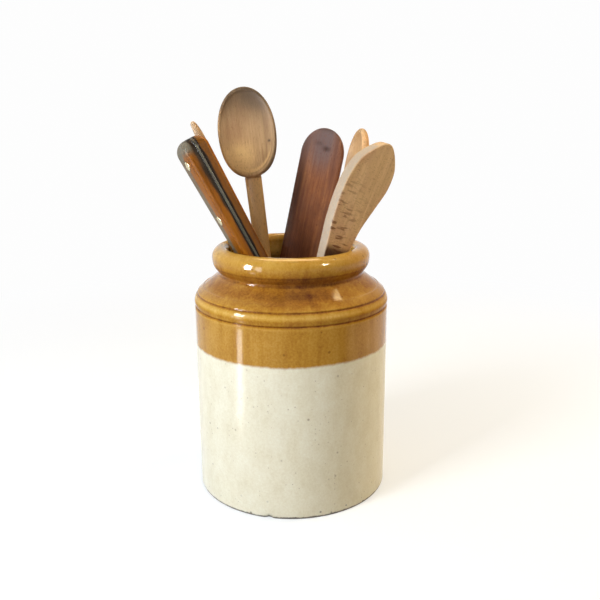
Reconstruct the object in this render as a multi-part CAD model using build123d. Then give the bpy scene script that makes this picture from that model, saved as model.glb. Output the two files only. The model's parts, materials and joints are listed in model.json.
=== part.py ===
from build123d import *
import os
from math import cos, radians, sin, sqrt

# A stoneware crock that stands on its flat base and holds six kitchen utensils.
# Millimetres. The origin is the centre of the base, +Z is up the crock's axis, and -Y is its front.

# Crock: outside sizes
body_radius = 74.0
body_height = 145.0
foot_round = 1.4
groove_width = 2.2
groove_depth = 0.9
bead_height = 7.0
bead_bulge = 0.35
band_radius = 71.8
band_height = 4.2
shoulder_radius = 67.0
shoulder_step = 0.3
shoulder_rise = 7.7
neck_radius = 55.2
neck_hollow = 3.7
neck_sweep = 1.6

# Crock: the rolled rim, measured from the top of the neck
rim_radius = 60.1
rim_under_rise = 10.8
rim_over_rise = 7.5
rim_crest_radius = 52.4
rim_under_bulge_share = 0.74
rim_under_height_share = 0.42

# Crock: inside sizes
wall = 7.0
floor_thickness = 8.0
floor_round = 6.0
mouth_radius = 47.0
lip_drop = 5.2
throat_height = 14.0
throat_round = 6.0
inner_shoulder_drop = 13.5
inner_shoulder_round = 8.0

# Clearances
seat_gap = 0.3
lean_gap = 0.9
rivet_gap = 0.02

# Knife: a full tang between two wooden scales, held by three rivets
knife_handle_length = 130.0
knife_butt_width = 28.0
knife_front_width = 23.5
knife_butt_thickness = 9.2
knife_front_thickness = 6.6
knife_scale_round = 3.6
knife_butt_round = 9.0
knife_front_round = 3.0
knife_plate_thickness = 2.0
knife_blade_length = 162.0
knife_blade_width = 23.0
knife_tip_length = 34.0
knife_tip_width = 4.0
knife_tip_round = 1.6
knife_rivet_radius = 3.8
knife_rivet_from_butt = 16.8
knife_rivet_pitch = 46.0
knife_rivet_count = 3

# Brown spoon
brown_length = 304.0
brown_end_width = 9.6
brown_neck_width = 13.4
brown_handle_thickness = 10.0
brown_bowl_length = 71.0
brown_bowl_width = 45.8
brown_bowl_depth = 12.5
brown_dish_depth = 3.6
brown_lip_width = 1.9
brown_lip_forward = 7.2

# Slim spoon, seen edge on behind the knife
slim_length = 298.0
slim_end_width = 8.0
slim_neck_width = 9.0
slim_handle_thickness = 8.4
slim_bowl_length = 52.0
slim_bowl_width = 28.0
slim_bowl_depth = 7.4
slim_dish_depth = 3.8
slim_lip_width = 2.2
slim_lip_forward = 3.0

# Small spoon at the back right
small_length = 272.5
small_end_width = 8.0
small_neck_width = 9.4
small_handle_thickness = 8.6
small_bowl_length = 54.0
small_bowl_width = 33.0
small_bowl_depth = 9.6
small_dish_depth = 4.6
small_lip_width = 2.2
small_lip_forward = 3.2

# Dark spatula: one flat board with a round end
dark_length = 272.0
dark_thickness = 5.4
dark_edge_round = 1.5
dark_handle_width = 21.0
dark_end_round = 7.0
dark_blade_width = 34.5
dark_blade_length = 118.0
dark_taper_length = 40.0
dark_tip_length = 21.0

# Pale beech spatula: one thick board with a leaf-shaped head that leans to one side
beech_length = 280.0
beech_thickness = 8.6
beech_edge_round = 1.2
beech_handle_width = 12.0
beech_end_round = 4.0
beech_head_length = 122.0
beech_head_width = 41.0
# Places along the head, from its root to its tip, with the left and right edges there
beech_head_height_shares = [0.30, 0.46, 0.62, 0.76, 0.89]
beech_left_shares = [-0.33, -0.43, -0.48, -0.45, -0.28]
beech_right_shares = [0.26, 0.31, 0.46, 0.58, 0.53]
beech_tip_share = 0.19

# How each utensil stands: where its axis crosses the mouth and the floor, and its turn about itself.
# Angles are in degrees round the crock's axis from +X. The foot reach is a share of the inner radius.
knife_mouth_angle, knife_foot_angle, knife_foot_share, knife_turn = 187.0, -9.0, 0.945, 114.0
brown_mouth_angle, brown_foot_angle, brown_foot_share, brown_turn = 125.5, 180.0, 0.03, 0.0
slim_mouth_angle, slim_foot_angle, slim_foot_share, slim_turn = 150.0, -14.7, 0.59, -82.0
small_mouth_angle, small_foot_angle, small_foot_share, small_turn = 27.7, 94.0, 0.29, -75.0
dark_mouth_angle, dark_foot_angle, dark_foot_share, dark_turn = 74.0, 138.0, 0.53, -15.0
beech_mouth_angle, beech_foot_angle, beech_foot_share, beech_turn = -36.0, 222.6, 0.84, 38.0

# How far in from the mouth's edge the knife and the beech board stand, beyond half their thickness
knife_inset = 6.7
beech_inset = 5.0

# Heights and radii that follow from the sizes above
inner_radius = body_radius - wall
lower_groove_top = body_height + groove_width
upper_groove_low = lower_groove_top + bead_height
upper_groove_top = upper_groove_low + groove_width
shoulder_height = upper_groove_top + band_height
neck_low = shoulder_height - shoulder_step + shoulder_rise
neck_height = neck_low + neck_hollow
rim_middle = neck_height + rim_under_rise
crock_height = rim_middle + rim_over_rise
lip_height = crock_height - lip_drop
throat_low = lip_height - throat_height
inner_shoulder_height = throat_low - inner_shoulder_drop
pull_clear_height = crock_height - floor_thickness


def crock():
    """The fired pot: one turned wall with a bead, a shoulder, a neck and a rolled rim."""
    half_groove = groove_width / 2
    lower_middle = body_height + half_groove
    upper_middle = upper_groove_low + half_groove
    bead_middle = (lower_groove_top + upper_groove_low) / 2
    bead_top_radius = (body_radius + band_radius) / 2
    step_radius = shoulder_radius - shoulder_step
    slope_top = neck_radius + neck_sweep
    under_bulge = neck_radius + (rim_radius - neck_radius) * rim_under_bulge_share
    under_height = neck_height + rim_under_rise * rim_under_height_share
    crest_width = rim_radius - rim_crest_radius
    lip_width = rim_crest_radius - mouth_radius
    outside = [
        Line((0, 0), (body_radius - foot_round, 0)),
        RadiusArc((body_radius - foot_round, 0), (body_radius, foot_round), -foot_round),
        Line((body_radius, foot_round), (body_radius, body_height)),
        ThreePointArc((body_radius, body_height), (body_radius - groove_depth, lower_middle),
                      (body_radius, lower_groove_top)),
        ThreePointArc((body_radius, lower_groove_top), (body_radius + bead_bulge, bead_middle),
                      (bead_top_radius, upper_groove_low)),
        ThreePointArc((bead_top_radius, upper_groove_low), (band_radius - groove_depth / 2, upper_middle),
                      (band_radius, upper_groove_top)),
        Line((band_radius, upper_groove_top), (shoulder_radius, shoulder_height)),
        Line((shoulder_radius, shoulder_height), (step_radius, shoulder_height - shoulder_step)),
        Line((step_radius, shoulder_height - shoulder_step), (slope_top, neck_low)),
        ThreePointArc((slope_top, neck_low), (neck_radius, (neck_low + neck_height) / 2),
                      (neck_radius + neck_sweep / 4, neck_height)),
        ThreePointArc((neck_radius + neck_sweep / 4, neck_height), (under_bulge, under_height),
                      (rim_radius, rim_middle)),
        EllipticalCenterArc((rim_crest_radius, rim_middle), crest_width, rim_over_rise, 0, arc_size=90),
        EllipticalCenterArc((rim_crest_radius, lip_height), lip_width, lip_drop, 90, arc_size=90),
    ]
    inside = FilletPolyline(
        (mouth_radius, lip_height), (mouth_radius, throat_low),
        (inner_radius, inner_shoulder_height), (inner_radius, floor_thickness), (0, floor_thickness),
        radius=[throat_round, inner_shoulder_round, floor_round])
    closing = Line((0, floor_thickness), (0, 0))
    half_section = make_face(Plane.XZ * (Curve() + outside + [inside, closing]))
    return revolve(half_section, Axis.Z)


def oval(width, thickness, height, forward=0):
    """An oval section of a handle at a height, shifted forward of the handle's axis."""
    return Pos(0, -forward, height) * Ellipse(width / 2, thickness / 2)


def ellipsoid(width, depth, length):
    """A closed oval body about the origin, made from a unit ball."""
    return scale(Rot(0, 90, 0) * Sphere(1), by=(width / 2, depth, length / 2))


def spoon(length, end_width, neck_width, handle_thickness, bowl_length, bowl_width, bowl_depth,
          dish_depth, lip_width, lip_forward):
    """A carved spoon standing on its handle's end, with its dish towards -Y and its lip in one plane."""
    neck = length - bowl_length
    root_thickness = bowl_depth * 2 / 3
    root_height = neck + bowl_length / 6
    neck_section = oval(neck_width, handle_thickness, neck)
    handle = loft([
        oval(end_width, end_width, 0),
        oval((end_width + neck_width) / 2, handle_thickness, neck / 2),
        neck_section,
    ])
    handle = fillet(handle.edges().sort_by(Axis.Z)[0], end_width / 3)
    root_forward = lip_forward - root_thickness / 2
    root = loft([neck_section, oval(neck_width, root_thickness, root_height, root_forward)])
    place = Pos(0, -lip_forward, length - bowl_length / 2)
    bowl = place * ellipsoid(bowl_width, bowl_depth, bowl_length)
    dish = place * ellipsoid(bowl_width - 2 * lip_width, dish_depth, bowl_length - 2 * lip_width)
    front_half = place * Pos(0, -bowl_depth, 0) * Box(bowl_width * 2, bowl_depth * 2, bowl_length * 2)
    return handle + root + (bowl - front_half) - dish


def rounded_board(outline, thickness, edge_round):
    """A board of the given outline, its thickness along Y, with softened edges."""
    board = extrude(make_face(Plane.XZ * outline), thickness / 2, both=True)
    rim = board.edges().filter_by(Axis.Y, reverse=True)
    return fillet(rim, edge_round)


def dark_spatula():
    """One flat board: a narrow handle that widens to a long blade with a round end."""
    half_handle = dark_handle_width / 2
    half_blade = dark_blade_width / 2
    blade_low = dark_length - dark_blade_length
    taper_low = blade_low - dark_taper_length
    tip_low = dark_length - dark_tip_length
    up = (0, 1)
    right_side = [
        Line((half_handle, dark_end_round), (half_handle, taper_low)),
        Spline((half_handle, taper_low), (half_blade, blade_low), tangents=[up, up]),
        Line((half_blade, blade_low), (half_blade, tip_low)),
    ]
    tip = EllipticalCenterArc((0, tip_low), half_blade, dark_tip_length, 0, arc_size=180)
    end = [
        RadiusArc((-half_handle, dark_end_round), (dark_end_round - half_handle, 0), -dark_end_round),
        Line((dark_end_round - half_handle, 0), (half_handle - dark_end_round, 0)),
        RadiusArc((half_handle - dark_end_round, 0), (half_handle, dark_end_round), -dark_end_round),
    ]
    left_side = [mirror(edge, Plane.YZ) for edge in right_side]
    return rounded_board(Curve() + right_side + left_side + [tip] + end, dark_thickness, dark_edge_round)


def beech_spatula():
    """One thick board: a narrow handle that widens to a leaf-shaped head bent to one side."""
    half_handle = beech_handle_width / 2
    head_low = beech_length - beech_head_length
    heights = [head_low + beech_head_length * share for share in beech_head_height_shares]
    left = [(beech_head_width * share, height) for share, height in zip(beech_left_shares, heights)]
    right = [(beech_head_width * share, height) for share, height in zip(beech_right_shares, heights)]
    tip = (beech_head_width * beech_tip_share, beech_length)
    up = (0, 1)
    left_side = Spline((-half_handle, head_low), *left, tip, tangents=[up, (1, 0)])
    right_side = Spline((half_handle, head_low), *right, tip, tangents=[up, (-1, 0)])
    round_end = beech_end_round
    handle = [
        Line((half_handle, round_end), (half_handle, head_low)),
        Line((-half_handle, round_end), (-half_handle, head_low)),
        RadiusArc((-half_handle, round_end), (round_end - half_handle, 0), -round_end),
        Line((round_end - half_handle, 0), (half_handle - round_end, 0)),
        RadiusArc((half_handle - round_end, 0), (half_handle, round_end), -round_end),
    ]
    return rounded_board(Curve() + [left_side, right_side] + handle, beech_thickness, beech_edge_round)


def rivet_heights():
    """Where the rivets cross the knife's handle, from the butt down."""
    butt = knife_blade_length + knife_handle_length
    return [butt - knife_rivet_from_butt - i * knife_rivet_pitch for i in range(knife_rivet_count)]


def rivet_row(radius, thickness):
    """Round bars across the knife's handle, one for each rivet."""
    return [Pos(0, 0, height) * Rot(90, 0, 0) * Cylinder(radius, thickness) for height in rivet_heights()]


def knife_grip_outline():
    """The handle's outline, seen on its flat side: wider at its round butt than at its front."""
    front = knife_front_width / 2
    butt = knife_butt_width / 2
    low = knife_blade_length
    top = low + knife_handle_length
    shoulder = top - knife_butt_round
    right_side = [
        Line((0, low), (front - knife_front_round, low)),
        RadiusArc((front - knife_front_round, low), (front, low + knife_front_round), -knife_front_round),
        Line((front, low + knife_front_round), (butt, shoulder)),
        RadiusArc((butt, shoulder), (butt - knife_butt_round, top), -knife_butt_round),
        Line((butt - knife_butt_round, top), (0, top)),
    ]
    return Curve() + right_side + [mirror(edge, Plane.YZ) for edge in right_side]


def knife_blade():
    """Blade and full tang, cut from one plate, with a hole for each rivet."""
    half = knife_blade_width / 2
    heel = knife_blade_length + knife_front_round
    tip_side = half - knife_tip_width
    blade_outline = Curve() + [
        Line((half, heel), (half, knife_tip_round)),
        Line((half, knife_tip_round), (tip_side, 0)),
        TangentArc((-half, knife_tip_length), (tip_side, 0), tangent=(0, -1)),
        Line((-half, knife_tip_length), (-half, heel)),
        Line((half, heel), (-half, heel)),
    ]
    plate = [extrude(make_face(Plane.XZ * outline), knife_plate_thickness / 2, both=True)
             for outline in (blade_outline, knife_grip_outline())]
    holes = rivet_row(knife_rivet_radius + rivet_gap, knife_plate_thickness * 2)
    return plate[0] + plate[1] - holes


def knife_side_profile(half_gap):
    """The handle's half section seen on its edge, from half the gap out to its slanted outer face."""
    low = knife_blade_length
    top = low + knife_handle_length
    return Polyline((half_gap, low), (half_gap + knife_front_thickness, low),
                    (half_gap + knife_butt_thickness, top), (half_gap, top), close=True)


def knife_scale(side):
    """One wooden scale, flat against the tang, with its outer edges rounded. Side is 1 or -1 along Y."""
    half_plate = knife_plate_thickness / 2
    slab = extrude(make_face(Plane.YZ * knife_side_profile(half_plate)), knife_butt_width / 2, both=True)
    slab = slab & extrude(make_face(Plane.XZ * knife_grip_outline()), knife_butt_width, both=True)
    outer = slab.faces().sort_by(Axis.Y)[-1]
    slab = fillet(outer.edges(), knife_scale_round)
    if side < 0:
        slab = mirror(slab, Plane.XZ)
    return slab - rivet_row(knife_rivet_radius + rivet_gap, knife_butt_width * 2)


def knife_rivets():
    """Three round rivets, their heads flush with the slanted outer faces of the scales."""
    grip = extrude(make_face(Plane.YZ * knife_side_profile(0)), knife_butt_width / 2, both=True)
    grip = Pos(0, knife_plate_thickness / 2, 0) * grip
    core = extrude(make_face(Plane.XZ * knife_grip_outline()), knife_plate_thickness / 2, both=True)
    whole = grip + mirror(grip, Plane.XZ) + core
    return [bar & whole for bar in rivet_row(knife_rivet_radius, knife_butt_width * 2)]


def around(reach, angle, height):
    """A point at a reach and an angle round the crock's axis."""
    return Vector(reach * cos(radians(angle)), reach * sin(radians(angle)), height)


def lean_reach(half_thickness, mouth_angle, foot):
    """How far from the crock's axis a leaning rod crosses the mouth, so that it clears the round lip."""
    edge = around(mouth_radius, mouth_angle, lip_height)
    outward = around(1, mouth_angle, 0)
    rise = edge - foot
    slope = rise.dot(outward) / rise.Z
    lip_round = (rim_crest_radius - mouth_radius + lip_drop) / 2
    return rim_crest_radius - (lip_round + half_thickness + lean_gap) * sqrt(1 + slope ** 2)


def floor_point(foot_share, foot_angle):
    """A point on the inside of the floor."""
    return around(inner_radius * foot_share, foot_angle, floor_thickness)


def stance(foot, mouth, turn):
    """The plane on which a utensil is built: its origin on the floor and its Z up through the mouth."""
    up = (mouth - foot).normalized()
    across = Vector(0, 1, 0).cross(up).normalized()
    return Plane(origin=foot, x_dir=across.rotate(Axis((0, 0, 0), up), turn), z_dir=up)


def rod_stance(half_thickness, mouth_angle, foot_share, foot_angle, turn):
    """The stance of a spoon whose round handle leans on the lip."""
    foot = floor_point(foot_share, foot_angle)
    reach = lean_reach(half_thickness, mouth_angle, foot)
    return stance(foot, around(reach, mouth_angle, lip_height), turn)


def board_stance(reach, mouth_angle, foot_share, foot_angle, turn):
    """The stance of a flat piece whose axis crosses the mouth at a reach."""
    return stance(floor_point(foot_share, foot_angle), around(reach, mouth_angle, lip_height), turn)


def stand(shapes, plane):
    """Stands a utensil's pieces on the floor: slid along their axis to a seat gap above it."""
    placed = [plane.location * shape for shape in shapes]
    lowest = min(shape.bounding_box().min.Z for shape in placed)
    drop = plane.z_dir * ((floor_thickness + seat_gap - lowest) / plane.z_dir.Z)
    return [shape.moved(Location(drop)) for shape in placed]


def write(name, shapes):
    """Writes one node's solids and prints where they are."""
    solids = [solid for shape in shapes for solid in shape.solids()]
    whole = solids[0] if len(solids) == 1 else Compound(children=solids)
    whole.label = name
    export_step(whole, "parts/" + name + ".step")
    box = whole.bounding_box()
    print(name, len(solids), "solids, from", box.min, "to", box.max)


def main():
    os.makedirs("parts", exist_ok=True)
    brown_half = (brown_neck_width + brown_handle_thickness) / 4
    slim_half = (slim_neck_width + slim_handle_thickness) / 4
    small_half = (small_neck_width + small_handle_thickness) / 4
    dark_chord = sqrt(mouth_radius ** 2 - (dark_blade_width / 2) ** 2)
    dark_reach = dark_chord - dark_thickness / 2 - lean_gap
    beech_reach = mouth_radius - beech_thickness / 2 - beech_inset
    knife_reach = mouth_radius - knife_butt_thickness - knife_inset
    planes = {
        "knife": board_stance(knife_reach, knife_mouth_angle, knife_foot_share, knife_foot_angle, knife_turn),
        "brown_spoon": rod_stance(brown_half, brown_mouth_angle, brown_foot_share, brown_foot_angle,
                                  brown_turn),
        "slim_spoon": rod_stance(slim_half, slim_mouth_angle, slim_foot_share, slim_foot_angle, slim_turn),
        "small_spoon": rod_stance(small_half, small_mouth_angle, small_foot_share, small_foot_angle,
                                  small_turn),
        "dark_spatula": board_stance(dark_reach, dark_mouth_angle, dark_foot_share, dark_foot_angle,
                                     dark_turn),
        "beech_spatula": board_stance(beech_reach, beech_mouth_angle, beech_foot_share, beech_foot_angle,
                                      beech_turn),
    }
    spoons = {
        "brown_spoon": spoon(brown_length, brown_end_width, brown_neck_width, brown_handle_thickness,
                             brown_bowl_length, brown_bowl_width, brown_bowl_depth, brown_dish_depth,
                             brown_lip_width, brown_lip_forward),
        "slim_spoon": spoon(slim_length, slim_end_width, slim_neck_width, slim_handle_thickness,
                            slim_bowl_length, slim_bowl_width, slim_bowl_depth, slim_dish_depth,
                            slim_lip_width, slim_lip_forward),
        "small_spoon": spoon(small_length, small_end_width, small_neck_width, small_handle_thickness,
                             small_bowl_length, small_bowl_width, small_bowl_depth, small_dish_depth,
                             small_lip_width, small_lip_forward),
    }
    write("crock", [crock()])
    for name, shape in spoons.items():
        write(name, stand([shape], planes[name]))
    write("dark_spatula", stand([dark_spatula()], planes["dark_spatula"]))
    write("beech_spatula", stand([beech_spatula()], planes["beech_spatula"]))
    knife = stand([knife_blade(), knife_scale(1), knife_scale(-1)] + knife_rivets(), planes["knife"])
    write("knife_blade", knife[:1])
    write("knife_scale_left", knife[1:2])
    write("knife_scale_right", knife[2:3])
    write("knife_rivets", knife[3:])
    for name, plane in planes.items():
        pull = pull_clear_height / plane.z_dir.Z
        print(name, "axis", plane.z_dir, "clears the mouth after", round(pull, 1))


main()
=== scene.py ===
import json
from math import ceil, cos, degrees, exp, hypot, pi, radians, sin, sqrt
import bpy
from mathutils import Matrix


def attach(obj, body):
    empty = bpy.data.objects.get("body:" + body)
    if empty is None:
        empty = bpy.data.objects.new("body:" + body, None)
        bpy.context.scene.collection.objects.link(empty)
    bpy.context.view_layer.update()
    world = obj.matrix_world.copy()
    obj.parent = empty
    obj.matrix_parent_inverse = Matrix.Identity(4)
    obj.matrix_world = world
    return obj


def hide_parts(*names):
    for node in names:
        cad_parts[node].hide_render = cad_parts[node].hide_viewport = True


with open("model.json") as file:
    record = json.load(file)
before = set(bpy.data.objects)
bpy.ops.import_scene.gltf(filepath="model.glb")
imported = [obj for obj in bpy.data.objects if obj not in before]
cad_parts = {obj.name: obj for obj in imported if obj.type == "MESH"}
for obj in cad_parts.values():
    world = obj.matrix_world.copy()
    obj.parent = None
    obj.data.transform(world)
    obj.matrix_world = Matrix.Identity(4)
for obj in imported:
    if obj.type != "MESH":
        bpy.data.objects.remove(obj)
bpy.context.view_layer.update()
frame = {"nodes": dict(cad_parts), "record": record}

from types import SimpleNamespace

import bpy
from mathutils import Matrix, Quaternion, Vector, noise

# The dressed model of a stoneware crock that holds six kitchen utensils.
# Metres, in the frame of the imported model: +Z is up the crock's axis, and -Y is its front.
# A turn round the crock is in degrees from +X, so 270 is its front.

# Crock: outside sizes
body_radius = 0.0740
body_height = 0.1450
foot_round = 0.0016
groove_width = 0.0022
groove_depth = 0.0009
bead_height = 0.0070
bead_bulge = 0.00035
band_radius = 0.0718
band_height = 0.0042
shoulder_radius = 0.0670
shoulder_step = 0.0003
shoulder_rise = 0.0077
neck_radius = 0.0552
neck_hollow = 0.0037
neck_sweep = 0.0016
rim_radius = 0.0601
rim_under_rise = 0.0108
rim_over_rise = 0.0075
rim_crest_radius = 0.0524
rim_under_bulge_share = 0.74
rim_under_height_share = 0.42

# Crock: inside sizes
wall = 0.0070
floor_thickness = 0.0080
floor_round = 0.0060
mouth_radius = 0.0470
lip_drop = 0.0052
throat_height = 0.0140
throat_round = 0.0060
inner_shoulder_drop = 0.0135
inner_shoulder_round = 0.0080

# Crock: heights that follow
lower_groove_middle = body_height + groove_width / 2
lower_groove_top = body_height + groove_width
upper_groove_low = lower_groove_top + bead_height
upper_groove_middle = upper_groove_low + groove_width / 2
upper_groove_top = upper_groove_low + groove_width
bead_middle = (lower_groove_top + upper_groove_low) / 2
shoulder_height = upper_groove_top + band_height
neck_low = shoulder_height - shoulder_step + shoulder_rise
neck_height = neck_low + neck_hollow
neck_notch = (neck_low + neck_height) / 2
roll_edge = neck_height + rim_under_rise * rim_under_height_share
rim_middle = neck_height + rim_under_rise
lip_height = rim_middle + rim_over_rise - lip_drop

# Crock: hand-made detail
crock_segments = 256
crock_step = 0.0014
crock_wobble = 0.00035
chip_angle = 256.4
chip_width = 0.0022
chip_depth = 0.0012

# Glaze: where the honey glaze ends, and the small glossy spot on the shoulder
glaze_line = 0.1168
shiny_spot_angle = 300.5
shiny_spot_height = 0.1624
shiny_spot_half_width = 0.0042
shiny_spot_half_height = 0.0019

# Glaze: turns where it lies thick on the shoulder, where it is painted lighter on its front right as
# painted light from the right, and its matt and satin strips
lean_angle = 274
thick_side_angle = 209
painted_light_side_angle = 317
side_spread = 13
matt_angle = 284
matt_half = 21
satin_angle = 137
satin_half = 38
strip_fade = 6

# Glaze: where it pools (plus) or runs thin (minus), as height, half width and amount
glaze_pools = (
    (lower_groove_middle, 0.0007, 0.36),
    (upper_groove_middle, 0.0007, 0.34),
    # The neck notch and the roll's lower edge are partly pooled glaze and partly painted shade under the
    # rim roll
    (neck_notch, 0.0007, 0.22),
    (roll_edge, 0.0005, 0.22),
    (bead_middle - 0.0016, 0.0014, 0.10),
    (bead_middle + 0.0016, 0.0016, -0.25),
    (body_height - 0.0009, 0.0006, -0.12),
)

# Glaze: lines with less gloss, as height, half width and how much less
dull_lines = (
    (body_height, 0.0013, 0.93),
    (lower_groove_top, 0.0013, 0.93),
    (upper_groove_low, 0.0012, 0.60),
    (upper_groove_top, 0.0012, 0.60),
    (bead_middle, 0.0030, 0.96),
)

# Glaze: what the finish reads at the middle of the foot and at the middle of the inside floor, whose
# darker depth is painted shade
glaze_hubs = {"depth": (0.5, 0.7), "outside": (1.0, 0.0), "gloss": (1.0, 1.0),
              "matt": (0.0, 0.0), "satin": (0.0, 0.0)}

# Glaze: its colours from thin to thick, as place and 0 to 255 screen values
honey_colours = ((0.0, (212, 176, 104)), (0.28, (192, 148, 67)), (0.5, (174, 125, 43)),
                 (0.72, (145, 92, 29)), (1.0, (84, 42, 15)))
cream_colours = ((0.2, (214, 203, 174)), (0.5, (223, 214, 189)), (0.8, (230, 224, 203)))
# Glaze: bare clay at the foot, its own colour darkened as painted contact shade along the floor
clay_and_contact_shade_colours = ((0.3, (84, 76, 68)), (0.7, (122, 112, 98)))
chip_colour = (58, 52, 48)
# Glaze: a pale tint for the matt strip, a painted reflection of the room in place of the gloss taken off
# there
matt_strip_painted_reflection = (236, 240, 246)

# Specks in the glaze: how close, what share of places, size, strength and colour
honey_specks = (190, 0.12, 0.22, 0.50, (84, 44, 16))
cream_specks = (150, 0.30, 0.15, 0.55, (120, 98, 72))
fine_specks = (420, 0.24, 0.24, 0.42, (146, 118, 86))
foot_specks = (240, 0.45, 0.22, 0.70, (96, 88, 80))

# Metals: colours from dark to bright
steel_colours = ((0.3, (36, 37, 26)), (0.55, (62, 64, 48)), (0.8, (98, 100, 82)))
rust_colour = (92, 52, 26)
steel_stain = (24, 23, 18)
brass_colours = ((0.3, (140, 128, 92)), (0.55, (188, 180, 146)), (0.8, (214, 206, 176)))

# Woods: what holds where a wood says nothing else, then each wood
plain_wood = {"rings": 150, "streak": 0.5, "roughness": 0.55, "shine": 0.12, "crisp": 0.45,
              "fleck": None, "blush": None}
woods = {
    # The brown spoon's worn colour also lays painted light and a painted highlight, and its stain colour
    # painted shade
    "brown_spoon_wood": {
        "pale": (198, 160, 114), "middle": (172, 135, 92), "deep": (132, 99, 64),
        "stain": (92, 71, 50), "worn": (208, 166, 108), "blush": (158, 116, 80),
        "rings": 210, "streak": 0.75},
    "slim_spoon_wood": {
        "pale": (212, 186, 156), "middle": (190, 156, 120), "deep": (156, 118, 80),
        "stain": (112, 76, 48), "worn": (204, 176, 146)},
    # The small spoon's worn colour is painted light, laid on its right side
    "small_spoon_wood": {
        "pale": (214, 178, 130), "middle": (192, 150, 102), "deep": (154, 112, 70),
        "stain": (116, 78, 48), "worn": (238, 184, 126), "streak": 0.6},
    "dark_spatula_wood": {
        "pale": (168, 108, 62), "middle": (128, 76, 45), "deep": (80, 44, 27),
        "stain": (60, 34, 24), "worn": (108, 88, 84), "blush": (108, 68, 50),
        "rings": 260, "streak": 0.9, "roughness": 0.45},
    # The beech's stain colour also lays a painted shadow of the crock's rim
    "beech_spatula_wood": {
        "pale": (234, 200, 154), "middle": (214, 177, 130), "deep": (182, 144, 102),
        "stain": (84, 56, 40), "worn": (174, 156, 134), "blush": (194, 150, 118),
        "fleck": (128, 88, 62), "rings": 190, "streak": 0.65},
    "knife_handle_wood": {
        "pale": (178, 112, 25), "middle": (146, 84, 13), "deep": (94, 48, 8),
        "stain": (34, 24, 16), "worn": (110, 106, 90),
        "rings": 160, "streak": 0.55, "roughness": 0.45, "crisp": 0.24, "shine": 0.06},
}

# Spoons: a minus egg narrows the bowl towards its tip
brown = SimpleNamespace(
    length=0.304, end_width=0.0096, neck_width=0.0134, thickness=0.0104, bowl_length=0.0710,
    bowl_width=0.0460, bowl_depth=0.0125, dish_depth=0.0036, lip_width=0.0019,
    lip_forward=0.0072, egg=-0.015)
slim = SimpleNamespace(
    length=0.298, end_width=0.0080, neck_width=0.0090, thickness=0.0084, bowl_length=0.052,
    bowl_width=0.0280, bowl_depth=0.0074, dish_depth=0.0038, lip_width=0.0022,
    lip_forward=0.0030, egg=0.0)
small = SimpleNamespace(
    length=0.2725, end_width=0.0080, neck_width=0.0094, thickness=0.0086, bowl_length=0.054,
    bowl_width=0.0330, bowl_depth=0.0096, dish_depth=0.0046, lip_width=0.0022,
    lip_forward=0.0032, egg=0.0)
brown_rim_half = 0.0224
voxel = 0.0005
bluntness = 0.045
wear_passes = 8

# Spatulas: sizes, and the beech head's outline as shares of its length and width
dark = SimpleNamespace(
    length=0.272, half_handle=0.0105, end_round=0.0070, half_blade=0.01725, blade_length=0.118,
    taper_length=0.040, tip_length=0.021, thickness=0.0054, ease=0.0015)
dark.blade_low = dark.length - dark.blade_length
dark.tip_low = dark.length - dark.tip_length
beech = SimpleNamespace(
    length=0.280, head_length=0.122, head_width=0.041, thickness=0.0086, half_handle=0.006,
    end_round=0.004, ease=0.0012, height_shares=(0.30, 0.46, 0.62, 0.76, 0.89),
    left_shares=(-0.33, -0.43, -0.48, -0.45, -0.28),
    right_shares=(0.26, 0.31, 0.46, 0.58, 0.53), tip_share=0.19)
beech.head_low = beech.length - beech.head_length

# Knife
knife_handle_length = 0.1300
knife_butt_width = 0.0280
knife_front_width = 0.0235
knife_butt_thickness = 0.0092
knife_front_thickness = 0.0066
knife_scale_round = 0.0036
knife_butt_round = 0.0090
knife_front_round = 0.0030
knife_plate_thickness = 0.0020
knife_blade_length = 0.1620
knife_blade_width = 0.0230
knife_tip_length = 0.0340
knife_tip_width = 0.0040
knife_edge_thickness = 0.0003
knife_bevel_width = 0.0110
knife_rivet_radius = 0.0038
knife_rivet_from_butt = 0.0168
knife_rivet_pitch = 0.0460
knife_rivet_count = 3
knife_dome_length = 0.0085
knife_dome_drop = 0.0058
rivet_dome = 0.00025
tang_recess = 0.00015
seam_wear = 0.0007
knife_top = knife_blade_length + knife_handle_length
knife_heel = knife_blade_length + knife_front_round

# How far each utensil is turned about its own axis, in degrees
turns = {"knife_blade": 114.0, "brown_spoon": 0.0, "slim_spoon": -82.0, "small_spoon": -75.0,
         "dark_spatula": -15.0, "beech_spatula": 38.0}

# Floor: where it fades to white, how white it is at least, and its colours
floor_fade_start = 0.12
floor_fade_end = 0.75
floor_lift = 0.45
floor_size = 8.0
floor_colour = (0.93, 0.93, 0.93, 1)
floor_bounce = (0.42, 0.40, 0.37, 1)

# Room: the light from its left, front and right, and the walls that gloss shows
white = (0.985, 0.985, 0.985, 1)
room_colours = ((0.0, (0.84, 0.90, 0.98, 1)), (0.45, (0.84, 0.83, 0.80, 1)),
                (1.0, (0.60, 0.50, 0.36, 1)))
room_strength = 0.72
near_wall = (0.20, 0.17, 0.14, 1)
right_wall = (0.86, 0.74, 0.56, 1)
lamp_target = (0, 0, 0.13)

# Camera: its place, what is right and up in its picture, and its lens in millimetres
camera_eye = (0.0, -0.554856, 0.293035)
camera_right = (0.99989903, -0.01348631, -0.00447774)
camera_up = (0.00777766, 0.25567393, 0.96673179)
camera_lens = 44.396


def colour(red, green, blue):
    """A colour given as 0 to 255 on a screen, as Blender's linear values."""
    shares = [value / 255 for value in (red, green, blue)]
    linear = [s / 12.92 if s <= 0.04045 else ((s + 0.055) / 1.055) ** 2.4 for s in shares]
    return (*linear, 1.0)


def stops(table):
    """The stops of a colour ramp from places and screen values."""
    return [(place, colour(*shade)) for place, shade in table]


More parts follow.
